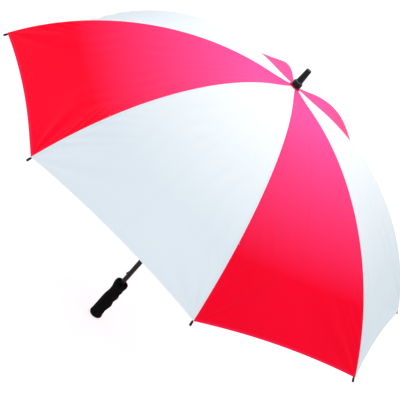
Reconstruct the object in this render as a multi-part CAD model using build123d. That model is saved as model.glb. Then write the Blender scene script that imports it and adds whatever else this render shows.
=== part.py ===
from build123d import *
import math
import os

# Golf umbrella, open, shaft upright on +Z, origin at the centre of the handle's flat end.
# Millimetres and degrees. Rib k stands at azimuth 45 * (k - 1) degrees, seen from above.

# ---- driving dimensions ----------------------------------------------------------------
RIBS = 8
STEP_ANGLE = 360 / RIBS
TOTAL_LENGTH = 953.0

# Seam line of the canopy over a rib: arc length s from the crown, and the angle that its
# tangent makes below the horizontal, ROOT_DIP + DIP_GAIN * (s / SEAM) ** DIP_POWER.
SEAM = 745.0
SEAM_ROOT_R = 12.0
SEAM_ROOT_Z = 889.6
ROOT_DIP = -3.42
DIP_GAIN = 58.07
DIP_POWER = 0.8875
HEM_DIP = 12.0
# Half way between two ribs the cloth hangs below their chord by GORE_SAG of its radius, and by
# less towards the hem, where HEM_TAUT of the sag is pulled out.
GORE_SAG = 0.045
HEM_TAUT = 0.9
SAG_POWER = 1.3
SAG_FROM_S = 60.0
# The cloth rises from the ribs to the clamp at the crown, like the top of a tent.
CROWN_RISE = 6.5
CROWN_SPREAD = 70.0
FABRIC = 0.5
FABRIC_GAP = 0.3

SHAFT_R = 7.0
SHAFT_WALL = 1.2
SHAFT_FROM = 12.0
SHAFT_TO = 922.0

ROD_R = 1.75
ROD_DEPTH = 3.3
ROD_FROM = 16.0
JOINT_S = 343.0
TIP_REACH = 12.0
CLIP_DROP = 6.5
EYE_R = 2.4
EYE_THICK = 2.4
SLOT = 3.2
CLIP_WIDTH = 6.2
CLIP_REACH = 24.0
CLIP_TOP = 2.0
FORK_DEPTH = 4.6
PIN_R = 0.8
PIN_PLAY = 0.08
WIRE_R = 0.6
WIRE_PLAY = 0.2
CLOSED_TIP_R = 18.5

WASHER_R = 16.5
WASHER = 1.2
WASHER_DROP = 1.2
COLLAR_R = 12.9
COLLAR = 14.6
SPIKE_R = 9.4
SPIKE_END_R = 7.4

RUNNER_BORE = 7.3
RUNNER_R = 9.6
RUNNER_SLEEVE = 54.0
CROWN_R = 15.4
CROWN_BELOW = 6.0
CROWN_ABOVE = 3.2

HANDLE_TURN = -16.0
HANDLE_TOP = 139.0
HANDLE_R = 18.8
KNUCKLE_R = 17.8
KNUCKLE_SHIFT = 2.6
RIM_R = 20.0
CUP_R = 17.4
CUP_DEPTH = 12.0

NIB_REACH = 10.2
NIB_HEIGHT = 14.0
NIB_WIDTH = 3.6
LEAF_IN = 3.4
LEAF_THICK = 1.2
BOTTOM_NIB_Z = 170.0

FOOT_R = 11.0
CUP_WALL = 1.4
FINGER_GROOVES = ((28.5, 26.5, 4.4), (72.3, 15.4, 3.8), (101.8, 12.4, 3.4))
RIM_LINE_Z = 120.5
FABRIC_CROWN_R = 9.6
STRAP = 1.2
STRAP_DROP = 3.0
STRAP_GORE = 4

os.makedirs("parts", exist_ok=True)


# ---- the seam line ---------------------------------------------------------------------
def dip(s):
    """Angle of the seam's tangent below the horizontal, in radians."""
    return math.radians(ROOT_DIP + DIP_GAIN * (max(s, 0) / SEAM) ** DIP_POWER)


def seam(s):
    """Radius and height of the seam at arc length s. Before 0 and past SEAM it runs straight."""
    inside = min(max(s, 0), SEAM)
    steps = max(1, math.ceil(inside / 5))
    width = inside / steps
    middles = [(i + 0.5) * width for i in range(steps)]
    r = SEAM_ROOT_R + sum(math.cos(dip(m)) for m in middles) * width
    z = SEAM_ROOT_Z - sum(math.sin(dip(m)) for m in middles) * width
    past = s - inside
    return r + past * math.cos(dip(inside)), z - past * math.sin(dip(inside))


def below_seam(s, depth):
    """The point at a depth under the seam, in the rib's own plane."""
    r, z = seam(s)
    angle = dip(min(s, SEAM))
    return r - depth * math.sin(angle), z - depth * math.cos(angle)


def turned(point, centre, degrees):
    """A point of the rib's plane, turned downwards about a centre."""
    a = math.radians(degrees)
    x = point[0] - centre[0]
    z = point[1] - centre[1]
    return (
        centre[0] + x * math.cos(a) + z * math.sin(a),
        centre[1] - x * math.sin(a) + z * math.cos(a),
    )


# ---- the linkage -----------------------------------------------------------------------
# The clip's lower pin is as far from the notch wire as from the runner wire, so the runner
# stays on the shaft while each rib folds.
CLAMP_Z = SEAM_ROOT_Z + CROWN_RISE + 1.3
NOTCH_Z = SEAM_ROOT_Z - ROD_DEPTH
NOTCH_PIVOT = (SEAM_ROOT_R, NOTCH_Z)
FLEX_PIVOT = below_seam(JOINT_S, ROD_DEPTH)
CLIP_PIVOT = below_seam(JOINT_S, ROD_DEPTH + CLIP_DROP)
STRETCHER = math.dist(NOTCH_PIVOT, CLIP_PIVOT)
OPEN_DIP = math.degrees(math.asin((NOTCH_Z - CLIP_PIVOT[1]) / STRETCHER))
FOLD = 90 - OPEN_DIP
RUNNER_Z = NOTCH_Z - 2 * STRETCHER * math.sin(math.radians(OPEN_DIP))
RUNNER_PIVOT = (SEAM_ROOT_R, RUNNER_Z)
RUNNER_Z_CLOSED = NOTCH_Z - 2 * STRETCHER
TOP_NIB_Z = RUNNER_Z - RUNNER_SLEEVE - 0.4 - NIB_HEIGHT
TIP_END = below_seam(SEAM + TIP_REACH, ROD_DEPTH)


def straightening():
    """How far the outer rod swings back at the clip, so that the closed tip meets CLOSED_TIP_R."""
    joint = turned(FLEX_PIVOT, NOTCH_PIVOT, FOLD)
    tip = turned(TIP_END, NOTCH_PIVOT, FOLD)
    reach = math.dist(joint, tip)
    now = math.asin((tip[0] - joint[0]) / reach)
    wanted = math.asin((CLOSED_TIP_R - joint[0]) / reach)
    return math.degrees(wanted - now)


FLEX = straightening()


# ---- helpers ---------------------------------------------------------------------------
def at_rib(shape, k):
    return Rot(0, 0, STEP_ANGLE * (k - 1)) * shape


def disc(radius, thick, centre):
    """A disc whose axis is the tangential direction, centred in the rib's plane."""
    place = Pos(centre[0], 0, centre[1]) * Rot(90, 0, 0)
    return place * Cylinder(radius, thick)


def rod(s_from, s_to, radius, arcs):
    """A round rod that follows the seam at the rods' depth, as a chain of tangent arcs."""
    stations = [s_from + (s_to - s_from) * i / arcs for i in range(arcs + 1)]
    ends = [below_seam(s, ROD_DEPTH) for s in stations]
    angle = dip(s_from)
    direction = Vector(math.cos(angle), 0, -math.sin(angle))
    edges = []
    for start, end in zip(ends, ends[1:]):
        edge = Edge.make_tangent_arc((start[0], 0, start[1]), direction, (end[0], 0, end[1]))
        direction = edge % 1
        edges.append(edge)
    path = Wire(edges)
    section = Plane(origin=path @ 0, z_dir=path % 0) * Circle(radius)
    return sweep(section, path=path)


def bar(start, end, height, thick):
    """A straight flat bar between two points of the rib's plane."""
    length = math.dist(start, end)
    tilt = math.degrees(math.atan2(end[1] - start[1], end[0] - start[0]))
    place = Pos(start[0], 0, start[1]) * Rot(0, -tilt, 0)
    return place * Pos(length / 2, 0, 0) * Box(length, thick, height)


def ring_wire(height):
    return Pos(0, 0, height) * Torus(SEAM_ROOT_R, WIRE_R)


def revolved(points):
    """A solid of revolution about Z from (radius, height) corners."""
    outline = Polyline(*[(r, 0, z) for r, z in points], close=True)
    return revolve(make_face(outline), Axis.Z)


def save(shape, name, color):
    shape.label = name
    shape.color = Color(*color)
    export_step(shape, f"parts/{name}.step")


# ---- fixed pieces on the shaft ---------------------------------------------------------
def shaft():
    height = SHAFT_TO - SHAFT_FROM
    middle = (SHAFT_TO + SHAFT_FROM) / 2
    body = Pos(0, 0, middle) * (Cylinder(SHAFT_R, height) - Cylinder(SHAFT_R - SHAFT_WALL, height))
    for low in (BOTTOM_NIB_Z, TOP_NIB_Z):
        window = Pos(SHAFT_R, 0, low + NIB_HEIGHT / 2) * Box(6, NIB_WIDTH + 1, NIB_HEIGHT + 1.2)
        body -= Rot(0, 0, HANDLE_TURN + 180) * window
    body -= stopper_pin()
    return body


def stopper_pin():
    height = RUNNER_Z + CROWN_ABOVE + 1.8
    return Rot(0, 0, STEP_ANGLE / 2) * Pos(0, 0, height) * Rot(0, 90, 0) * Cylinder(1.25, 20)


def catch(low, shelf_on_top):
    """A leaf spring inside the shaft with a wedge nib that stands out through the window."""
    top = low + NIB_HEIGHT
    shelf, slope = (top, low) if shelf_on_top else (low, top)
    leaf_out = LEAF_IN + LEAF_THICK
    corners = [(leaf_out, shelf), (NIB_REACH, shelf), (SHAFT_R - 0.4, slope), (leaf_out, slope)]
    outline = Polyline(*[(x, 0, z) for x, z in corners], close=True)
    nib = extrude(make_face(outline), NIB_WIDTH / 2, dir=(0, 1, 0), both=True)
    leaf = Pos(LEAF_IN + LEAF_THICK / 2, 0, low - 4) * Box(LEAF_THICK, NIB_WIDTH, 2 * NIB_HEIGHT + 20)
    return Rot(0, 0, HANDLE_TURN + 180) * (nib + leaf)


def eyelet_slots(height, below, above):
    """Cutters for the eight slots of a notch or runner crown."""
    slots = []
    for k in range(1, RIBS + 1):
        depth = CROWN_R + 2 - (SEAM_ROOT_R - EYE_R - 0.4)
        middle = CROWN_R + 2 - depth / 2
        block = Pos(middle, 0, height + (above - below) / 2) * Box(depth, SLOT, above + below)
        slots.append(at_rib(block, k))
    return slots


def wire_groove(height):
    width = 2 * (WIRE_R + 0.1)
    outer = Cylinder(CROWN_R + 1, width)
    inner = Cylinder(SEAM_ROOT_R - WIRE_R - 0.1, width)
    return Pos(0, 0, height) * (outer - inner)


def top_notch():
    low = NOTCH_Z - 12
    high = NOTCH_Z + 1.3
    neck = FABRIC_CROWN_R * math.cos(math.radians(STEP_ANGLE / 2)) - 0.4
    top = CLAMP_Z - 0.2
    body = revolved([
        (SHAFT_R, low - 10), (SHAFT_R + 2.5, low - 10), (SHAFT_R + 2.5, low),
        (CROWN_R - 0.8, low + 1), (CROWN_R, low + 3), (CROWN_R, high), (neck, high),
        (neck, top), (SHAFT_R, top),
    ])
    for slot in eyelet_slots(NOTCH_Z, 14, 4):
        body -= slot
    return body - wire_groove(NOTCH_Z)


def runner():
    low = RUNNER_Z - RUNNER_SLEEVE
    high = RUNNER_Z + CROWN_ABOVE
    body = revolved([
        (RUNNER_BORE, low), (RUNNER_R + 2.2, low), (RUNNER_R + 2.6, low + 2.5),
        (RUNNER_R + 1.6, low + 4.5), (RUNNER_R, low + 5.5), (RUNNER_R, RUNNER_Z - 14),
        (CROWN_R, RUNNER_Z - CROWN_BELOW), (CROWN_R, high), (RUNNER_BORE, high),
    ])
    for slot in eyelet_slots(RUNNER_Z, EYE_R + 1.2, CROWN_ABOVE + 2):
        body -= slot
    catch_drop = RUNNER_Z_CLOSED - BOTTOM_NIB_Z - NIB_HEIGHT / 2
    window = Pos(RUNNER_R, 0, RUNNER_Z - catch_drop) * Box(8, NIB_WIDTH + 1, NIB_HEIGHT + 1.6)
    body -= Rot(0, 0, HANDLE_TURN + 180) * window
    return body - wire_groove(RUNNER_Z)


def canopy_washer():
    """The small cloth disc that slopes down over the canopy's crown, under the collar."""
    low = CLAMP_Z
    edge = low - WASHER_DROP
    return revolved([
        (SHAFT_R + 0.2, low), (WASHER_R - 1.5, edge), (WASHER_R, edge + 0.2),
        (WASHER_R - 1.5, edge + 1.0), (SHAFT_R + 0.2, low + WASHER),
    ])


def ferrule_collar():
    """The stepped ring that presses the washer and the canopy's crown onto the notch."""
    low = CLAMP_Z + WASHER + 0.2
    step = low + COLLAR - 1.4
    return revolved([
        (SHAFT_R, low), (COLLAR_R - 1.1, low), (COLLAR_R - 0.3, low + 1), (COLLAR_R, step - 2.2),
        (COLLAR_R - 0.7, step - 0.6), (COLLAR_R - 2.3, step), (COLLAR_R - 2.3, low + COLLAR),
        (SHAFT_R, low + COLLAR),
    ])


def ferrule():
    """The spike: a blunt cone with a small foot, closed over the end of the shaft."""
    low = CLAMP_Z + WASHER + 0.2 + COLLAR
    return revolved([
        (0, SHAFT_TO), (SHAFT_R, SHAFT_TO), (SHAFT_R, low), (SPIKE_R, low), (SPIKE_R, low + 1.5),
        (SPIKE_R - 0.4, low + 2.2), (SPIKE_END_R, TOTAL_LENGTH - 1.6),
        (SPIKE_END_R - 0.9, TOTAL_LENGTH), (0, TOTAL_LENGTH),
    ])


# ---- the handle ------------------------------------------------------------------------
def handle_grip():
    """A foam sleeve with a flared rim, an open cup round the shaft and a fuller finger side."""
    foot = ThreePointArc((FOOT_R, 0, 0), (HANDLE_R - 1.7, 0, 2.4), (HANDLE_R, 0, 12))
    side = Spline(
        (HANDLE_R, 0, 12), (HANDLE_R - 0.2, 0, 46), (HANDLE_R - 1.0, 0, 80), (HANDLE_R - 3.1, 0, 104),
        (RIM_R - 0.8, 0, 124), tangents=((0, 0, 1), (0.25, 0, 1)),
    )
    rim = Spline(
        (RIM_R - 0.8, 0, 124), (RIM_R, 0, 131), (RIM_R - 0.6, 0, HANDLE_TOP - 1),
        (CUP_R + 1.2, 0, HANDLE_TOP), tangents=((0.25, 0, 1), (-1, 0, 0)),
    )
    floor = HANDLE_TOP - CUP_DEPTH - CUP_WALL
    inside = Polyline(
        (CUP_R + 1.2, 0, HANDLE_TOP), (CUP_R + CUP_WALL, 0, HANDLE_TOP - 1.2),
        (CUP_R + CUP_WALL, 0, floor), (SHAFT_R, 0, floor), (SHAFT_R, 0, SHAFT_FROM),
        (FOOT_R, 0, SHAFT_FROM), (FOOT_R, 0, 0),
    )
    outline = [*foot.edges(), *side.edges(), *rim.edges(), *inside.edges()]
    body = revolve(make_face(outline), Axis.Z)
    body -= Pos(0, 0, RIM_LINE_Z) * Torus(RIM_R - 1.0, 0.7)
    return Rot(0, 0, HANDLE_TURN) * finger_grooves(body + knuckles())


def knuckles():
    """The fuller foam on the finger side: a sleeve a little off the shaft's axis."""
    sleeve = revolved([
        (0, 12), (KNUCKLE_R - 3, 12), (KNUCKLE_R, 18), (KNUCKLE_R, 108), (KNUCKLE_R - 2.2, 119), (0, 119),
    ])
    return Pos(KNUCKLE_SHIFT, 0, 0) * sleeve - Cylinder(SHAFT_R, 2 * HANDLE_TOP)


def finger_grooves(body):
    """Cut a groove for each finger. A groove is an arc, known by its half width and its depth."""
    crest = KNUCKLE_R + KNUCKLE_SHIFT
    for height, half_width, depth in FINGER_GROOVES:
        radius = (half_width ** 2 + depth ** 2) / (2 * depth)
        body -= Pos(crest - depth + radius, 0, height) * Rot(90, 0, 0) * Cylinder(radius, 60)
    return body


def handle_cup():
    """The moulded liner of the grip's open top, which shields the closed rib tips."""
    floor = HANDLE_TOP - CUP_DEPTH
    return revolved([
        (SHAFT_R, floor - CUP_WALL), (CUP_R + CUP_WALL, floor - CUP_WALL),
        (CUP_R + CUP_WALL, HANDLE_TOP - 1.3), (CUP_R + 0.4, HANDLE_TOP - 1.0),
        (CUP_R, HANDLE_TOP - 1.8), (CUP_R, floor + 1.5), (CUP_R - 1.5, floor), (SHAFT_R, floor),
    ])


def handle_plug():
    """The plug that closes the handle's end. Its flat face is the umbrella's datum."""
    inner = SHAFT_R - SHAFT_WALL
    return revolved([
        (0, 0), (FOOT_R - 0.8, 0), (FOOT_R, 0.8), (FOOT_R, SHAFT_FROM), (inner, SHAFT_FROM),
        (inner, SHAFT_FROM + 16), (0, SHAFT_FROM + 16),
    ])


# ---- ribs, stretchers and tips ---------------------------------------------------------
def rib_inner_rod():
    """The inner rod with its eyelet at the notch."""
    body = rod(ROD_FROM, JOINT_S - 9, ROD_R, 4)
    body += bar(NOTCH_PIVOT, below_seam(ROD_FROM + 6, ROD_DEPTH), 3.2, EYE_THICK)
    body += disc(EYE_R, EYE_THICK, NOTCH_PIVOT)
    return body - disc(WIRE_R + WIRE_PLAY, 20, NOTCH_PIVOT)


def clip_frame():
    """The clip's own place: origin at the flex pin, X along the rib, Z away from the shaft."""
    return Pos(FLEX_PIVOT[0], 0, FLEX_PIVOT[1]) * Rot(0, math.degrees(dip(JOINT_S)), 0)


def clip_body():
    """The moulded clip: it grips the inner rod, forks round the outer one's eyelet, and hangs
    down round the stretcher's pin."""
    chin = -CLIP_DROP - EYE_R - 0.3
    corners = [
        (-CLIP_REACH, -2.4), (-CLIP_REACH, CLIP_TOP), (0, CLIP_TOP), (2.0, 1.5), (2.6, 0),
        (2.4, chin + 1.8), (0, chin), (-3.2, chin + 1.4), (-9, -3.4),
    ]
    outline = Polyline(*[(x, 0, z) for x, z in corners], close=True)
    body = extrude(make_face(outline), CLIP_WIDTH / 2, dir=(0, 1, 0), both=True)
    fork = Pos(5 - FORK_DEPTH, 0, 0) * Box(10, SLOT, 12)
    throat = Pos(FORK_DEPTH - 7, 0, -6.2) * Box(18, SLOT, 7.4)
    body = clip_frame() * (body - fork - throat)
    return body - rod(JOINT_S - CLIP_REACH - 6, JOINT_S, ROD_R + 0.05, 1)


def rib_inner():
    """The inner rod, the clip on its end and the clip's two pins, as four separate solids."""
    pins = [disc(PIN_R, CLIP_WIDTH, pivot) for pivot in (FLEX_PIVOT, CLIP_PIVOT)]
    clip = clip_body() - pins[0] - pins[1]
    return Compound([*rib_inner_rod().solids(), *clip.solids(), *pins[0].solids(), *pins[1].solids()])


def rib_outer():
    """The outer rod, from its eyelet at the flex pin to the canopy's corner."""
    body = rod(JOINT_S + 5, SEAM + 2, ROD_R, 5)
    body += bar(FLEX_PIVOT, below_seam(JOINT_S + 12, ROD_DEPTH), 3.2, EYE_THICK)
    body += disc(EYE_R, EYE_THICK, FLEX_PIVOT)
    return body - disc(PIN_R + PIN_PLAY, 20, FLEX_PIVOT)


def rib_tip():
    """The moulded cap that holds the canopy's corner: a flared socket and a ball nose."""
    start = below_seam(SEAM - 10, ROD_DEPTH)
    end = TIP_END
    tilt = math.degrees(math.atan2(end[1] - start[1], end[0] - start[0]))
    length = math.dist(start, end)
    socket = revolved([
        (0, 0), (ROD_R + 0.75, 0), (ROD_R + 0.9, 6), (ROD_R + 0.45, 9), (ROD_R + 0.45, 11),
        (ROD_R + 1.1, 12.4), (ROD_R + 1.0, length - 4.4), (ROD_R + 1.3, length - 3.2),
        (ROD_R + 1.1, length - 1.1), (ROD_R - 0.2, length), (0, length),
    ])
    cap = Pos(start[0], 0, start[1]) * Rot(0, 90 - tilt, 0) * socket
    return cap - rod(SEAM - 40, SEAM + 2, ROD_R, 1)


def stretcher():
    body = bar(CLIP_PIVOT, RUNNER_PIVOT, 3.8, EYE_THICK)
    for pivot in (CLIP_PIVOT, RUNNER_PIVOT):
        body += disc(EYE_R, EYE_THICK, pivot)
    body -= disc(PIN_R + PIN_PLAY, 20, CLIP_PIVOT)
    return body - disc(WIRE_R + WIRE_PLAY, 20, RUNNER_PIVOT)


# ---- the canopy ------------------------------------------------------------------------
def gore_point(along, across):
    """A point of the gore between rib 1 and rib 2: along 0..1 from crown to hem, across -1..1."""
    middle = 1 - across ** 2
    crown = FABRIC_CROWN_R - SEAM_ROOT_R
    s = crown + along * (SEAM - HEM_DIP * middle - crown)
    r, z = seam(s)
    half = math.radians(STEP_ANGLE / 2)
    taut = 1 - HEM_TAUT * (s / SEAM) ** 2
    sag = GORE_SAG * r * taut * middle ** SAG_POWER * min(1, max(s, 0) / SAG_FROM_S)
    rise = CROWN_RISE * max(0, 1 - s / CROWN_SPREAD) ** 2
    angle = dip(s)
    outward = r * math.cos(half) - sag * math.sin(angle)
    sideways = across * (r * math.sin(half) - FABRIC_GAP)
    place = Vector(outward, sideways, z + rise - sag * math.cos(angle))
    return place.rotate(Axis.Z, STEP_ANGLE / 2)


def canopy_panel():
    alongs = [0, 0.02, 0.045, 0.075, 0.11] + [i / 14 for i in range(2, 15)]
    rows = [[gore_point(along, j / 6) for j in range(-6, 7)] for along in alongs]
    surface = Face.make_surface_from_array_of_points(rows)
    return Solid.thicken(surface, FABRIC, normal_override=(0, 0, 1))


def tie_strap():
    """The strap that ties the closed canopy: it lies flat under its gore, sewn at one end."""
    corners = [(0.80, -0.60), (0.80, -0.12), (0.835, -0.12), (0.835, -0.60)]
    drop = Vector(0, 0, STRAP_DROP)
    outline = Polyline(*[gore_point(a, c) - drop for a, c in corners], close=True)
    return Solid.thicken(Face.make_surface(outline.edges()), STRAP, normal_override=(0, 0, -1))


# ---- build -----------------------------------------------------------------------------
BLACK = (0.03, 0.03, 0.035)
STEEL = (0.7, 0.7, 0.72)
RED = (0.85, 0.02, 0.12)
WHITE = (0.9, 0.92, 0.94)

SINGLE = {
    "shaft": (shaft, BLACK),
    "ferrule": (ferrule, BLACK),
    "ferrule_collar": (ferrule_collar, BLACK),
    "canopy_washer": (canopy_washer, RED),
    "top_notch": (top_notch, BLACK),
    "notch_wire": (lambda: ring_wire(NOTCH_Z), STEEL),
    "runner_stop_pin": (stopper_pin, STEEL),
    "top_catch_spring": (lambda: catch(TOP_NIB_Z, True), STEEL),
    "bottom_catch_spring": (lambda: catch(BOTTOM_NIB_Z, False), STEEL),
    "handle_grip": (handle_grip, BLACK),
    "handle_cup": (handle_cup, BLACK),
    "handle_plug": (handle_plug, BLACK),
    "runner": (runner, BLACK),
    "runner_wire": (lambda: ring_wire(RUNNER_Z), STEEL),
}
REPEATED = {
    "rib_inner": (rib_inner, BLACK),
    "rib_outer": (rib_outer, BLACK),
    "rib_tip": (rib_tip, BLACK),
    "stretcher": (stretcher, BLACK),
    "canopy_panel": (canopy_panel, RED),
}


def build():
    for name, (make, color) in SINGLE.items():
        save(make(), name, color)
    for name, (make, color) in REPEATED.items():
        shape = make()
        for k in range(1, RIBS + 1):
            paint = WHITE if name == "canopy_panel" and k % 2 == 0 else color
            save(at_rib(shape, k), f"{name}_{k}", paint)
    save(at_rib(tie_strap(), STRAP_GORE), "tie_strap", WHITE)


build()
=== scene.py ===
import math

import bpy
import numpy as np
from mathutils import Matrix, Vector


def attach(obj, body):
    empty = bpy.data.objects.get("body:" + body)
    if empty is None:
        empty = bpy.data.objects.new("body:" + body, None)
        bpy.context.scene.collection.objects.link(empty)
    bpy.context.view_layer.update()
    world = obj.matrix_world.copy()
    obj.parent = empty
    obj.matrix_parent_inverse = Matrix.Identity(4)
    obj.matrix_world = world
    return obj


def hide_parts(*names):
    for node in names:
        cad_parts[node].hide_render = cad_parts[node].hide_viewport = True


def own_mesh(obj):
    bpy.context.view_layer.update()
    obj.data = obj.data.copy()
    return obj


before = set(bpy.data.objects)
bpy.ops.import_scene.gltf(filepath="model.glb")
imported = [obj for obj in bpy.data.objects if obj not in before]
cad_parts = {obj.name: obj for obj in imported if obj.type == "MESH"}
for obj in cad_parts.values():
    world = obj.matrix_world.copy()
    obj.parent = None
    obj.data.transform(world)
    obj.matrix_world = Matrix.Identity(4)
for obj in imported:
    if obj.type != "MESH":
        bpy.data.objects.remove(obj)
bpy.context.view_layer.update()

# A golf umbrella, open, with its shaft upright on +Z. Metres. Rib k stands at azimuth
# 45 * (k - 1) degrees, and gore k is the cloth between rib k and the next one.
RIBS = 8
STEP = 2 * math.pi / RIBS
HALF = STEP / 2

# The seam line over a rib, as the CAD has it: arc length s from the crown, and the angle that
# its tangent makes below the horizontal.
SEAM = 0.745
ROOT_R = 0.012
ROOT_Z = 0.8896
ROOT_DIP = math.radians(-3.42)
DIP_GAIN = math.radians(58.07)
DIP_POWER = 0.8875
HEM_DIP = 0.012
CROWN_RISE = 0.0065
CROWN_SPREAD = 0.070
JOINT_S = 0.343
CROWN_S = -0.0024
CLOTH = 0.0004
CLOTH_LIFT = 0.0004
ROWS = {"inner": 56, "outer": 80}
COLUMNS = 40

# Half way between two ribs the cloth hangs below their chord by GORE_SAG of its radius, and by
# less towards the hem, where HEM_TAUT of the sag is pulled out.
GORE_SAG = 0.045
HEM_TAUT = 0.9
SAG_POWER = 1.3
SAG_FROM_S = 0.06

# Heights of the cloth's wrinkles, and the length of one wave where it is regular.
CORNER_FOLD = 0.0030
PUCKER = 0.0016
PUCKER_WAVE = 0.047
SLACK = 0.0017
SLACK_WAVE = 0.043
CROWN_RAY = 0.0005

# The closed canopy: the share of its width that a half gore keeps, and the place on the gore
# that sets the slope it folds along.
FOLD_LINE_S = {"inner": 0.30, "outer": 0.62}
FOLD_LINE_A = 0.72

# Weave, hem, seams and stitches. Rows of stitches are known by their distance from the edge.
WEAVE_PITCH = 0.0011
TRIM_PITCH = 0.0009
STITCH_PITCH = 0.0034
STITCH_SHARE = 0.62
THREAD_HALF = 0.00045
HEM_TURN = 0.0065
HEM_EDGE_HALF = 0.0005
HEM_ROW = HEM_TURN - 0.0015
SEAM_TURN = 0.0052
SEAM_ROW = 0.0042
CREASE_HALF = 0.0013
# Painted light and sheen: the cloth's colour turns paler towards the crown, in full at the first of these
# arc lengths and not at all past the second.
CROWN_LIGHT_START = 0.12
CROWN_LIGHT_END = 0.58

# The washer on the crown, the rods under the cloth and the strap under gore 4.
CLAMP_Z = ROOT_Z + CROWN_RISE + 0.0013
WASHER_R = 0.0165
WASHER_BORE = 0.0074
WASHER_DROP = 0.0012
SCALLOPS = 16
ROD_DEPTH = 0.0033
STRAP_S = 0.607
STRAP_WIDTH = 0.025
STRAP_FROM = -0.60
STRAP_TO = -0.12


# ---- the seam line ----------------------------------------------------------------------
TABLE_S = np.linspace(0, SEAM, 1491)
_width = TABLE_S[1]
_middle = ROOT_DIP + DIP_GAIN * ((TABLE_S[:-1] + _width / 2) / SEAM) ** DIP_POWER
TABLE_R = ROOT_R + np.concatenate([[0], np.cumsum(np.cos(_middle)) * _width])
TABLE_Z = ROOT_Z - np.concatenate([[0], np.cumsum(np.sin(_middle)) * _width])


def dip(s):
    return ROOT_DIP + DIP_GAIN * (np.clip(s, 0, SEAM) / SEAM) ** DIP_POWER


def seam(s):
    """Radius and height of the seam at arc length s, straight before 0 and past SEAM."""
    inside = np.clip(s, 0, SEAM)
    past = s - inside
    angle = dip(inside)
    r = np.interp(inside, TABLE_S, TABLE_R) + past * np.cos(angle)
    z = np.interp(inside, TABLE_S, TABLE_Z) - past * np.sin(angle)
    return r, z


# ---- materials --------------------------------------------------------------------------
class Nodes:
    """A material's node tree with short calls to add and join nodes."""

    def __init__(self, name):
        self.material = bpy.data.materials.new(name)
        self.material.use_nodes = True
        self.tree = self.material.node_tree
        self.shader = self.tree.nodes["Principled BSDF"]

    def add(self, kind, **settings):
        node = self.tree.nodes.new(kind)
        for key, value in settings.items():
            setattr(node, key, value)
        return node

    def link(self, source, target):
        self.tree.links.new(source, target)

    def math(self, operation, a, b=None, clamp=False):
        node = self.tree.nodes.new("ShaderNodeMath")
        node.operation = operation
        node.use_clamp = clamp
        for socket, value in zip(node.inputs, (a, b)):
            if value is None:
                continue
            if isinstance(value, (int, float)):
                socket.default_value = value
            else:
                self.link(value, socket)
        return node.outputs[0]

    def mix(self, factor, a, b):
        node = self.tree.nodes.new("ShaderNodeMix")
        node.data_type = "RGBA"
        for name, value in (("Factor", factor), ("A", a), ("B", b)):
            socket = [s for s in node.inputs if s.name == name and s.enabled][0]
            if isinstance(value, tuple):
                socket.default_value = (*value, 1)
            else:
                self.link(value, socket)
        return [s for s in node.outputs if s.enabled][0]

    def ramp(self, factor, low, high):
        node = self.tree.nodes.new("ShaderNodeMapRange")
        node.inputs["From Min"].default_value = low
        node.inputs["From Max"].default_value = high
        self.link(factor, node.inputs["Value"])
        return node.outputs["Result"]

    def noise(self, vector, scale, detail=2.0):
        node = self.add("ShaderNodeTexNoise")
        node.inputs["Scale"].default_value = scale
        node.inputs["Detail"].default_value = detail
        self.link(vector, node.inputs["Vector"])
        return node.outputs["Fac"]

    def band(self, value, centre, half):
        """1 where the value lies within half of the centre, and 0 elsewhere."""
        away = self.math("ABSOLUTE", self.math("SUBTRACT", value, centre))
        return self.math("LESS_THAN", away, half)

    def dashes(self, length):
        """1 along each stitch of a row, and 0 in the gap before the next one."""
        run = self.math("FRACT", self.math("MULTIPLY", length, 1 / STITCH_PITCH))
        return self.math("LESS_THAN", run, STITCH_SHARE)

    def bump(self, height, distance, strength=1.0, under=None):
        node = self.tree.nodes.new("ShaderNodeBump")
        node.inputs["Distance"].default_value = distance
        node.inputs["Strength"].default_value = strength
        self.link(height, node.inputs["Height"])
        if under is not None:
            self.link(under, node.inputs["Normal"])
        return node.outputs["Normal"]

    def set(self, **values):
        for key, value in values.items():
            socket = self.shader.inputs[key.replace("_", " ")]
            if hasattr(value, "is_linked"):
                self.link(value, socket)
            else:
                socket.default_value = (*value, 1) if isinstance(value, tuple) else value


def object_coordinates(n):
    return n.add("ShaderNodeTexCoord").outputs["Object"]


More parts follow.
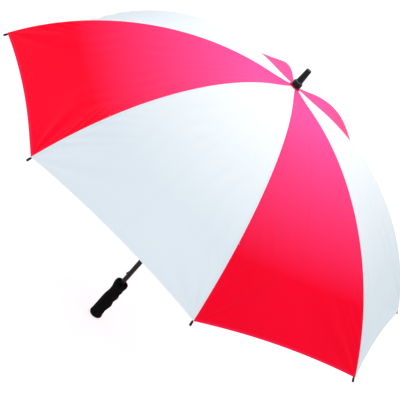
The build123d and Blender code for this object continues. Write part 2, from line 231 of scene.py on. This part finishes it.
def canopy_cloth(name, colour, shade, crown, thread):
    """Tight woven nylon. The cut's own coordinates, in metres, carry weave, hem and stitches.

    Its colour is painted paler towards the crown, as painted light and sheen from above.
    """
    n = Nodes(name)
    cut = n.add("ShaderNodeUVMap", uv_map="cut").outputs["UV"]
    edges = n.add("ShaderNodeUVMap", uv_map="edges").outputs["UV"]
    along = n.add("ShaderNodeSeparateXYZ")
    n.link(cut, along.inputs[0])
    near = n.add("ShaderNodeSeparateXYZ")
    n.link(edges, near.inputs[0])
    from_seam, from_hem = near.outputs["X"], near.outputs["Y"]

    warp = n.math("SINE", n.math("MULTIPLY", along.outputs["X"], 2 * math.pi / WEAVE_PITCH))
    weft = n.math("SINE", n.math("MULTIPLY", along.outputs["Y"], 2 * math.pi / WEAVE_PITCH))
    weave = n.math("MULTIPLY", warp, weft)
    slub = n.noise(cut, 420.0, 3.0)
    cloudy = n.noise(object_coordinates(n), 5.0, 3.0)

    hem_turn = n.math("LESS_THAN", from_hem, HEM_TURN)
    hem_edge = n.band(from_hem, HEM_TURN, HEM_EDGE_HALF)
    seam_turn = n.math("LESS_THAN", from_seam, SEAM_TURN)
    doubled = n.math("MAXIMUM", hem_turn, seam_turn)
    hem_row = n.band(from_hem, HEM_ROW, THREAD_HALF)
    seam_row = n.band(from_seam, SEAM_ROW, THREAD_HALF)
    hem_stitches = n.math("MULTIPLY", hem_row, n.dashes(along.outputs["X"]))
    seam_stitches = n.math("MULTIPLY", seam_row, n.dashes(along.outputs["Y"]))
    stitches = n.math("ADD", hem_stitches, seam_stitches, clamp=True)
    crease = n.band(along.outputs["X"], 0.0, CREASE_HALF)

    base = n.mix(n.math("MULTIPLY", n.ramp(cloudy, 0.35, 0.75), 0.6), colour, shade)
    # Painted light and sheen: the colour turns to the paler crown colour towards the crown, for light from
    # above.
    base = n.mix(n.ramp(along.outputs["Y"], CROWN_LIGHT_END, CROWN_LIGHT_START), base, crown)
    base = n.mix(n.math("MULTIPLY", slub, 0.08), base, shade)
    base = n.mix(n.math("MULTIPLY", hem_turn, 0.10), base, crown)
    # Painted highlight: the doubled cloth beside the seam is a touch lighter, for light on the ridge over
    # the rib.
    base = n.mix(n.math("MULTIPLY", seam_turn, 0.03), base, crown)
    # Painted shade: a darker line along the edge of the turned hem.
    base = n.mix(n.math("MULTIPLY", hem_edge, 0.3), base, shade)
    # Painted shade: a darker line along the crease in the middle of the gore.
    base = n.mix(n.math("MULTIPLY", crease, 0.10), base, shade)
    base = n.mix(n.math("MULTIPLY", stitches, 0.55), base, thread)
    n.set(Base_Color=base, Sheen_Weight=0.01, Sheen_Roughness=0.45, Specular_IOR_Level=0.03)
    n.set(Roughness=n.math("ADD", n.math("MULTIPLY", slub, 0.16), 0.46))
    fine = n.bump(n.math("ADD", n.math("MULTIPLY", weave, 0.6), slub), 0.00008, 0.6)
    steps = n.math("ADD", n.math("MULTIPLY", doubled, 0.35), n.math("MULTIPLY", stitches, -0.4))
    steps = n.math("ADD", steps, n.math("MULTIPLY", crease, 0.5))
    n.set(Normal=n.bump(steps, 0.0004, 0.8, under=fine))
    return n.material


def trim_cloth(name, colour, shade):
    """Plain woven trim in the object's own coordinates: the crown's washer and the tie strap."""
    n = Nodes(name)
    place = object_coordinates(n)
    split = n.add("ShaderNodeSeparateXYZ")
    n.link(place, split.inputs[0])
    warp = n.math("SINE", n.math("MULTIPLY", split.outputs["X"], 2 * math.pi / TRIM_PITCH))
    weft = n.math("SINE", n.math("MULTIPLY", split.outputs["Y"], 2 * math.pi / TRIM_PITCH))
    slub = n.noise(place, 900.0, 3.0)
    broad = n.noise(place, 130.0, 3.0)
    base = n.mix(n.ramp(broad, 0.4, 0.7), colour, shade)
    n.set(Base_Color=n.mix(n.math("MULTIPLY", slub, 0.35), base, shade), Specular_IOR_Level=0.1)
    n.set(Roughness=n.math("ADD", n.math("MULTIPLY", slub, 0.2), 0.6), Sheen_Weight=0.05)
    weave = n.math("ADD", n.math("MULTIPLY", n.math("MULTIPLY", warp, weft), 0.7), slub)
    n.set(Normal=n.bump(weave, 0.0001, 0.6))
    return n.material


def black_plastic():
    """Moulded plastic: a fine spark-eroded grain, and a painted highlight that makes it pale and bright
    along its edges.
    """
    n = Nodes("black_plastic_fine")
    place = object_coordinates(n)
    grain = n.noise(place, 2600.0, 3.0)
    patches = n.noise(place, 70.0, 4.0)
    base = n.mix(n.ramp(patches, 0.4, 0.75), (0.004, 0.0042, 0.006), (0.0116, 0.01198, 0.0154))
    # Painted highlight: pale where the mesh is pointed, for light catching the rims and edges.
    edge_highlight = n.ramp(n.add("ShaderNodeNewGeometry").outputs["Pointiness"], 0.53, 0.6)
    base = n.mix(n.math("MULTIPLY", edge_highlight, 0.8), base, (0.22, 0.26, 0.26))
    n.set(Base_Color=base, Specular_IOR_Level=0.16)
    n.set(Roughness=n.math("ADD", n.math("MULTIPLY", patches, 0.22), 0.24))
    n.set(Normal=n.bump(grain, 0.00006, 0.5))
    return n.material


def coated_tube():
    """Semi-gloss black lacquer on a drawn tube: faint lengthwise draw lines and light scuffs."""
    n = Nodes("shaft_lacquer")
    place = object_coordinates(n)
    stretch = n.add("ShaderNodeMapping")
    stretch.inputs["Scale"].default_value = (900, 900, 12)
    n.link(place, stretch.inputs["Vector"])
    lines = n.noise(stretch.outputs["Vector"], 1.0, 2.0)
    scuffs = n.noise(place, 160.0, 5.0)
    n.set(Base_Color=n.mix(n.ramp(scuffs, 0.55, 0.8), (0.006, 0.0065, 0.0075), (0.02, 0.021, 0.023)))
    n.set(Roughness=n.math("ADD", n.math("MULTIPLY", scuffs, 0.25), 0.2), Specular_IOR_Level=0.2)
    n.set(Normal=n.bump(lines, 0.00004, 0.5))
    return n.material


def foam_rubber():
    """Closed-cell foam: soft, dark, with tiny pores and slight palm polish."""
    n = Nodes("handle_foam_pores")
    place = object_coordinates(n)
    cells = n.add("ShaderNodeTexVoronoi", feature="F1")
    cells.inputs["Scale"].default_value = 1500.0
    n.link(place, cells.inputs["Vector"])
    pores = n.ramp(cells.outputs["Distance"], 0.0, 0.7)
    broad = n.noise(place, 55.0, 3.0)
    n.set(Base_Color=n.mix(n.ramp(broad, 0.35, 0.75), (0.0016, 0.0018, 0.0022), (0.004, 0.0043, 0.005)))
    n.set(Roughness=n.math("ADD", n.math("MULTIPLY", broad, 0.2), 0.62), Specular_IOR_Level=0.035)
    n.set(Normal=n.bump(pores, 0.00016, 0.6))
    return n.material


def glass_fibre():
    """Pultruded glass-fibre rod in black: long fibres under a satin skin."""
    n = Nodes("rib_glass_fibre")
    place = object_coordinates(n)
    fibres = n.noise(place, 950.0, 4.0)
    broad = n.noise(place, 40.0, 2.0)
    n.set(Base_Color=n.mix(n.ramp(fibres, 0.45, 0.75), (0.012, 0.012, 0.014), (0.035, 0.035, 0.038)))
    n.set(Roughness=n.math("ADD", n.math("MULTIPLY", broad, 0.2), 0.26))
    n.set(Normal=n.bump(fibres, 0.00005, 0.5))
    return n.material


def steel(name, colour, rough, metallic=1.0):
    n = Nodes(name)
    place = object_coordinates(n)
    draw = n.noise(place, 700.0, 4.0)
    spots = n.noise(place, 90.0, 4.0)
    darker = tuple(c * 0.6 for c in colour)
    n.set(Base_Color=n.mix(n.ramp(spots, 0.4, 0.75), colour, darker), Metallic=metallic)
    n.set(Roughness=n.math("ADD", n.math("MULTIPLY", draw, 0.2), rough))
    n.set(Normal=n.bump(draw, 0.00003, 0.5))
    return n.material


def floor_finish():
    n = Nodes("studio_floor")
    place = object_coordinates(n)
    n.set(Base_Color=n.mix(n.noise(place, 3.0, 2.0), (0.50, 0.505, 0.51), (0.52, 0.52, 0.525)))
    n.set(Roughness=0.8, Specular_IOR_Level=0.1)
    n.set(Emission_Color=(1, 1, 1), Emission_Strength=0.68)
    return n.material


# The crown colours are painted light: the paler, pinker or whiter tones that the cloth is painted towards
# the crown.
RED = canopy_cloth(
    "canopy_red_weave",
    colour=(0.95, 0.0005, 0.024), shade=(0.86, 0.0005, 0.018),
    crown=(0.96, 0.09, 0.36), thread=(0.66, 0.004, 0.03),
)
WHITE = canopy_cloth(
    "canopy_white_weave",
    colour=(0.70, 0.765, 0.815), shade=(0.66, 0.73, 0.785),
    crown=(0.93, 0.95, 0.965), thread=(0.56, 0.62, 0.67),
)
WASHER_RED = trim_cloth("washer_red_weave", (0.98, 0.003, 0.05), (0.85, 0.002, 0.035))
STRAP_WHITE = trim_cloth("strap_white_weave", (0.74, 0.79, 0.83), (0.62, 0.68, 0.73))


# ---- mesh helpers -----------------------------------------------------------------------
def new_piece(name, points, faces, body, material):
    mesh = bpy.data.meshes.new(name)
    mesh.from_pydata([tuple(p) for p in points], [], faces)
    mesh.update()
    mesh.shade_smooth()
    mesh.materials.append(material)
    piece = bpy.data.objects.new(name, mesh)
    bpy.context.scene.collection.objects.link(piece)
    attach(piece, body)
    return piece


def turn_z(points, angle):
    c, s = math.cos(angle), math.sin(angle)
    turned = np.array(points, float)
    x, y = turned[..., 0].copy(), turned[..., 1].copy()
    turned[..., 0] = c * x - s * y
    turned[..., 1] = s * x + c * y
    return turned


# ---- the canopy -------------------------------------------------------------------------
def smoothstep(x, low, high):
    t = np.clip((x - low) / (high - low), 0, 1)
    return t * t * (3 - 2 * t)


def hem_s(a):
    """Arc length at which the hem lies, for a place a across the gore."""
    return SEAM - HEM_DIP * (1 - a ** 2)


def wrinkles(s, a, gore):
    """Small waves of the stretched cloth: pulled folds at the corners, puckers along the seams."""
    r, _ = seam(s)
    width = r * math.sin(HALF)
    from_seam = (1 - np.abs(a)) * width
    from_hem = np.maximum(hem_s(a) - s, 0)
    waves = np.zeros_like(from_seam)
    for side in (-1, 1):
        here = smoothstep(a * side, -0.05, 0.25)
        draw = np.random.default_rng(100 * gore + side + 1)
        turn = draw.uniform(0, 2 * math.pi, 8)
        strong = draw.uniform(0.7, 1.25, 4)
        waves += here * strong[0] * corner_folds(from_seam, from_hem, turn)
        waves += here * strong[1] * seam_puckers(from_seam, from_hem, turn)
        waves += here * strong[2] * slack_blobs(from_seam, from_hem, turn)
        waves += here * strong[3] * crown_rays(a, s, turn)
    return waves


def corner_folds(from_seam, from_hem, turn):
    """Folds that fan out from the tip, where the cap pulls the corner tight."""
    reach = np.hypot(from_seam, from_hem)
    angle = np.arctan2(from_seam, from_hem + 1e-6)
    size = np.exp(-reach / 0.12) * smoothstep(reach, 0.004, 0.06) * np.minimum(from_seam / 0.012, 1)
    fan = np.sin(angle * 9 + turn[0]) + 0.35 * np.sin(angle * 15 + turn[1] + reach * 9)
    return CORNER_FOLD * size * fan


def seam_puckers(from_seam, from_hem, turn):
    """Short slanting puckers beside the seam, which crowd together towards the tip."""
    size = np.minimum(from_seam / 0.012, 1) * np.exp(-from_seam / 0.03)
    size *= 0.12 + 0.88 * np.exp(-((from_hem - 0.12) / 0.11) ** 2)
    slant = from_hem - 1.6 * from_seam
    waves = np.sin(slant * 2 * math.pi / PUCKER_WAVE + turn[2] + 1.3 * np.sin(slant * 31 + turn[3]))
    return PUCKER * size * waves


def slack_blobs(from_seam, from_hem, turn):
    """Soft long wrinkles in the broad part of the gore, a hand's width in from the seam."""
    size = np.exp(-((from_seam - 0.085) / 0.06) ** 2) * np.exp(-((from_hem - 0.30) / 0.17) ** 2)
    slant = from_seam + 0.22 * from_hem
    waves = np.sin(slant * 2 * math.pi / SLACK_WAVE + turn[4] + 1.2 * np.sin(from_hem * 27 + turn[5]))
    return SLACK * size * waves * (0.6 + 0.4 * np.sin(from_hem * 41 + turn[6] + slant * 20))


def crown_rays(a, s, turn):
    """Faint straight tension lines that run down from the crown."""
    size = (1 - a ** 2) * smoothstep(s, 0.06, 0.16) * (1 - smoothstep(s, 0.3, 0.6))
    return CROWN_RAY * size * np.sin(a * 19.0 + turn[7])


def gore_place(s, a, off):
    """Points of gore 1 that stand off its smooth surface, before the gore is turned to its place."""
    r, z = seam(s)
    angle = dip(s)
    middle = 1 - a ** 2
    taut = 1 - HEM_TAUT * (np.clip(s, 0, SEAM) / SEAM) ** 2
    sag = GORE_SAG * r * taut * middle ** SAG_POWER * np.clip(s / SAG_FROM_S, 0, 1)
    z = z + CROWN_RISE * np.clip(1 - s / CROWN_SPREAD, 0, 2) ** 2
    out = off - sag
    radial = r * math.cos(HALF) + out * np.sin(angle)
    across = a * r * math.sin(HALF)
    return np.stack([radial, across, z + out * np.cos(angle)], axis=-1)


def gore_surface(s, a, gore, lift=CLOTH_LIFT):
    """The wrinkled cloth of one gore."""
    return gore_place(s, a, lift + wrinkles(s, a, gore))


def gore_grid(side, part):
    """Arc lengths and places across of half a gore's grid, which is finer by the seam and the hem."""
    v = np.linspace(0, 1, ROWS[part])[:, None]
    a = side * (1 - np.linspace(0, 1, COLUMNS) ** 1.6)[None, :]
    if part == "inner":
        s = CROWN_S + (JOINT_S - CROWN_S) * v + 0 * a
    else:
        s = JOINT_S + (hem_s(a) - JOINT_S) * (1 - (1 - v) ** 1.3)
    return s, a + 0 * s


def cloth_normals(s, a, gore, side):
    """Unit normals of the cloth, pointing up, from a small step along it and one across it."""
    step_s, step_a = 0.0008, 0.004
    along = gore_surface(s + step_s, a, gore) - gore_surface(s - step_s, a, gore)
    inside = np.clip(np.abs(a) - step_a, 0, 1) * np.sign(side)
    beyond = gore_surface(s, inside + step_a * side, gore)
    beside = beyond - gore_surface(s, inside - step_a * side, gore)
    normal = np.cross(along, beside) * side
    normal /= np.linalg.norm(normal, axis=-1, keepdims=True)
    return normal * np.sign(normal[..., 2:3])


def half_gore_faces(rows, side):
    """Quads of the top, the underside and the wall round their rim, and how many walls there are."""
    count = rows * COLUMNS
    grid = np.arange(count).reshape(rows, COLUMNS)
    quads = []
    for i in range(rows - 1):
        for j in range(COLUMNS - 1):
            corner = [grid[i, j], grid[i + 1, j], grid[i + 1, j + 1], grid[i, j + 1]]
            corner = corner if side < 0 else corner[::-1]
            quads.append(corner)
            quads.append([c + count for c in reversed(corner)])
    rim = [*grid[0, :], *grid[1:, -1], *grid[-1, -2::-1], *grid[-2:0:-1, 0]]
    for p, q in zip(rim, [*rim[1:], rim[0]]):
        wall = [p, q, q + count, p + count]
        quads.append(wall if side < 0 else wall[::-1])
    return [[int(i) for i in quad] for quad in quads], len(rim)


def lay_out(mesh, s, a, normals, walls):
    """Give the mesh the cut's coordinates, the distances to seam and hem, and its smooth normals."""
    width = seam(s)[0] * math.sin(HALF)
    cut = np.stack([a * width, s], axis=-1).reshape(-1, 2)
    edge = np.stack([(1 - np.abs(a)) * width, hem_s(a) - s], axis=-1).reshape(-1, 2)
    corner_points = np.zeros(len(mesh.loops), int)
    mesh.loops.foreach_get("vertex_index", corner_points)
    for layer_name, values in (("cut", cut), ("edges", edge)):
        layer = mesh.uv_layers.new(name=layer_name)
        at_corners = np.concatenate([values, values])[corner_points]
        layer.data.foreach_set("uv", at_corners.astype(np.float32).ravel())
    corner_normals = np.concatenate([normals, -normals])[corner_points]
    corner_normals[-4 * walls:] = 0
    mesh.normals_split_custom_set(corner_normals.tolist())


def gore_piece(gore, side, part):
    """Half a gore from its seam to its middle, above or below the rib's joint, as a thin shell."""
    name = f"canopy_{gore}_{'near' if side < 0 else 'far'}_{part}"
    s, a = gore_grid(side, part)
    top = gore_surface(s, a, gore)
    normal = cloth_normals(s, a, gore, side)
    under = top - normal * CLOTH
    turn = STEP * (gore - 1) + HALF
    points = np.concatenate([turn_z(top, turn).reshape(-1, 3), turn_z(under, turn).reshape(-1, 3)])
    faces, walls = half_gore_faces(ROWS[part], side)

    rib = gore if side < 0 else gore % RIBS + 1
    body = f"rib_{part}_{rib}"
    material, slot = (RED, "canopy_red") if gore % 2 else (WHITE, "canopy_white")
    piece = new_piece(name, points, faces, body, material)
    lay_out(piece.data, s, a, turn_z(normal, turn).reshape(-1, 3), walls)

    fold_flat(piece, side, rib, part)
    return piece


def fold_flat(piece, side, rib, part):
    """Works out the line along which the half gore would fold against its rib, and gives the piece a mesh
    of its own.
    """
    if part == "inner":
        start, end = seam(0.0), seam(JOINT_S)
    else:
        start, end = seam(JOINT_S), seam(SEAM)
    chord = np.array([end[0] - start[0], 0, end[1] - start[1]])
    chord /= np.linalg.norm(chord)
    fold_s = np.array([FOLD_LINE_S[part]] * 2)
    beside_rib = gore_place(fold_s, side * np.array([1, FOLD_LINE_A]), 0.0)
    seam_point, cloth_point = turn_z(beside_rib, -side * HALF)
    ruling = cloth_point - seam_point
    axis = ruling - ruling @ chord * chord
    axis /= np.linalg.norm(axis)
    anchor = np.array([start[0], 0, start[1]])
    azimuth = STEP * (rib - 1)
    axis = tuple(turn_z(axis, azimuth))
    tuple(turn_z(anchor, azimuth))
    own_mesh(piece)


def canopy():
    for gore in range(1, RIBS + 1):
        made = [gore_piece(gore, side, part) for side in (-1, 1) for part in ("inner", "outer")]
        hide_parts(f"canopy_panel_{gore}")


# ---- small cloth pieces -------------------------------------------------------------------
def shell(top, under, closed):
    """Points and faces of a thin sheet from its two grids. closed joins the last row to the first."""
    rows, cols = top.shape[:2]
    points = np.concatenate([top.reshape(-1, 3), under.reshape(-1, 3)])
    count = rows * cols
    grid = np.arange(count).reshape(rows, cols)
    if closed:
        grid = np.concatenate([grid, grid[:1]])
    faces = []
    for i in range(len(grid) - 1):
        for j in range(cols - 1):
            corner = [grid[i, j], grid[i + 1, j], grid[i + 1, j + 1], grid[i, j + 1]]
            faces.append(corner)
            faces.append([c + count for c in reversed(corner)])
        for p, q in ((grid[i + 1, 0], grid[i, 0]), (grid[i, -1], grid[i + 1, -1])):
            faces.append([p, q, q + count, p + count])
    if not closed:
        for j in range(cols - 1):
            for p, q in ((grid[0, j], grid[0, j + 1]), (grid[-1, j + 1], grid[-1, j])):
                faces.append([p, q, q + count, p + count])
    return points, [[int(i) for i in face] for face in faces]


def washer():
    """The scalloped disc of cloth on the crown, pinched under the collar."""
    turn = np.linspace(0, 2 * math.pi, 160, endpoint=False)[:, None]
    out = np.linspace(0, 1, 14)[None, :]
    edge = WASHER_R - 0.0011 + 0.0009 * np.cos(SCALLOPS * turn)
    r = WASHER_BORE + (edge - WASHER_BORE) * out
    wave = 0.00035 * np.cos(SCALLOPS * turn) * out ** 2
    z = CLAMP_Z - WASHER_DROP * out - wave
    under = np.stack([r * np.cos(turn), r * np.sin(turn), z + 0 * r], axis=-1)
    top = under + np.array([0, 0, 0.0006])
    points, faces = shell(top, under, closed=True)
    piece = new_piece("crown_washer_cloth", points, faces, "shaft", WASHER_RED)
    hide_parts("canopy_washer")


def tie_strap():
    """The strap under gore 4: sewn to the cloth at one end, hanging just clear of it."""
    gore = 4
    along = np.linspace(0, 1, 40)[:, None]
    across = np.linspace(-1, 1, 9)[None, :]
    tip = np.sqrt(np.clip(1 - ((along - 0.9) / 0.1) ** 2, 0.02, 1))
    narrowing = np.where(along > 0.9, tip, 1)
    a = STRAP_FROM + (STRAP_TO - STRAP_FROM) * along + 0 * across
    s = STRAP_S + STRAP_WIDTH / 2 * across * narrowing
    surface = gore_surface(s, a, gore, lift=0)
    hang = -0.0008 - 0.0024 * smoothstep(along, 0.0, 0.35) - 0.0004 * np.sin(along * 19)
    top = surface + hang[..., None] * np.array([0, 0, 1])
    under = top - np.array([0, 0, 0.0009])
    turn = STEP * (gore - 1) + HALF
    points, faces = shell(turn_z(top, turn), turn_z(under, turn), closed=False)
    piece = new_piece("tie_strap_cloth", points, faces, "rib_outer_4", STRAP_WHITE)
    fold_flat(piece, -1, gore, "outer")
    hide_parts("tie_strap")


def thread_ties():
    """Loops of sewing thread that hold the seam to each rib, two to a rib."""
    around = np.linspace(0, 2 * math.pi, 20, endpoint=False)
    tube = np.linspace(0, 2 * math.pi, 8, endpoint=False)
    for part, s in (("inner", 0.19), ("outer", 0.55)):
        r, z = seam(s)
        angle = float(dip(s))
        down = np.array([-math.sin(angle), 0, -math.cos(angle)])
        beside = np.array([0, 1.0, 0])
        ahead = np.array([math.cos(angle), 0, -math.sin(angle)])
        centre = np.array([float(r), 0, float(z)]) + down * (ROD_DEPTH - 0.0012)
        points = []
        for u in around:
            spoke = math.cos(u) * down * 1.25 + math.sin(u) * beside
            ring = centre + spoke * 0.0026
            wander = ahead * 0.0006 * math.sin(3 * u + s * 50)
            points += [ring + wander + 0.0004 * (math.cos(v) * spoke + math.sin(v) * ahead) for v in tube]
        count = len(tube)
        total = len(points)
        faces = []
        for i in range(len(around)):
            for j in range(count):
                k = (j + 1) % count
                m = (i + 1) * count % total
                faces.append([i * count + j, m + j, m + k, i * count + k])
        for rib in range(1, RIBS + 1):
            turned = turn_z(np.array(points), STEP * (rib - 1))
            body = f"rib_{part}_{rib}"
            new_piece(f"thread_tie_{rib}_{part}", turned, faces, body, STRAP_WHITE)


# ---- finishes of the CAD pieces -----------------------------------------------------------
def paint(names, material):
    for name in names:
        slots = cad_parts[name].data.materials
        slots.clear()
        slots.append(material)


def finish_cad():
    each = range(1, RIBS + 1)
    plastic = black_plastic()
    bare = steel("bare_steel_drawn", (0.62, 0.63, 0.65), 0.25)
    paint(["shaft"], coated_tube())
    paint(["handle_grip"], foam_rubber())
    paint(["handle_cup", "handle_plug", "top_notch", "runner", "ferrule", "ferrule_collar"], plastic)
    paint([f"rib_tip_{k}" for k in each], plastic)
    paint(["notch_wire", "runner_wire", "runner_stop_pin", "top_catch_spring"], bare)
    paint(["bottom_catch_spring"], steel("catch_dark_steel", (0.10, 0.10, 0.11), 0.3))
    fibre = glass_fibre()
    paint([f"rib_inner_{k}" for k in each] + [f"rib_outer_{k}" for k in each], fibre)
    paint([f"stretcher_{k}" for k in each], steel("stretcher_black", (0.03, 0.03, 0.033), 0.3, 0.6))


# ---- camera, floor and light ----------------------------------------------------------------
CAMERA_AT = Vector((-0.644, -2.447, 1.669))
CAMERA_LOOKS = Vector((0.2341, 0.8756, -0.4225)).normalized()
CAMERA_ROLL = math.radians(41.47)
CAMERA_LENS = 94.4
FLOOR_Z = -0.0005
FLOOR_HALF = 30.0


def camera():
    level = CAMERA_LOOKS.cross(Vector((0, 0, 1))).normalized()
    upward = level.cross(CAMERA_LOOKS)
    right = math.cos(CAMERA_ROLL) * level + math.sin(CAMERA_ROLL) * upward
    up = right.cross(CAMERA_LOOKS)
    data = bpy.data.cameras.new("camera")
    data.lens = CAMERA_LENS
    data.sensor_width = 36
    made = bpy.data.objects.new("camera", data)
    turn = Matrix((right, up, -CAMERA_LOOKS)).transposed().to_4x4()
    made.matrix_world = Matrix.Translation(CAMERA_AT) @ turn
    bpy.context.scene.collection.objects.link(made)
    bpy.context.scene.camera = made


def area_light(name, place, towards, size, power, colour):
    data = bpy.data.lights.new(name, "AREA")
    data.size = size
    data.energy = power
    data.color = colour
    light = bpy.data.objects.new(name, data)
    light.location = place
    light.rotation_mode = "QUATERNION"
    light.rotation_quaternion = (Vector(towards) - Vector(place)).to_track_quat("-Z", "Y")
    bpy.context.scene.collection.objects.link(light)


def studio():
    corners = [(-1, -1), (1, -1), (1, 1), (-1, 1)]
    points = [(x * FLOOR_HALF, y * FLOOR_HALF, FLOOR_Z) for x, y in corners]
    mesh = bpy.data.meshes.new("floor")
    mesh.from_pydata(points, [], [(0, 1, 2, 3)])
    mesh.materials.append(floor_finish())
    floor = bpy.data.objects.new("floor", mesh)
    bpy.context.scene.collection.objects.link(floor)
    world = bpy.data.worlds.new("studio")
    world.use_nodes = True
    background = world.node_tree.nodes["Background"]
    background.inputs["Color"].default_value = (0.97, 0.985, 1.0, 1)
    background.inputs["Strength"].default_value = 0.86
    bpy.context.scene.world = world
    area_light("key", (0.0, 0.5, 3.0), towards=(0, 0, 0.75), size=1.3, power=19, colour=(1, 0.995, 0.985))
    area_light("fill", (-2.6, -2.4, 1.6), towards=(0, 0, 0.6), size=2.6, power=14, colour=(0.97, 0.985, 1))


bpy.context.scene.view_settings.view_transform = "Standard"

camera()
studio()
finish_cad()
canopy()
washer()
tie_strap()
thread_ties()
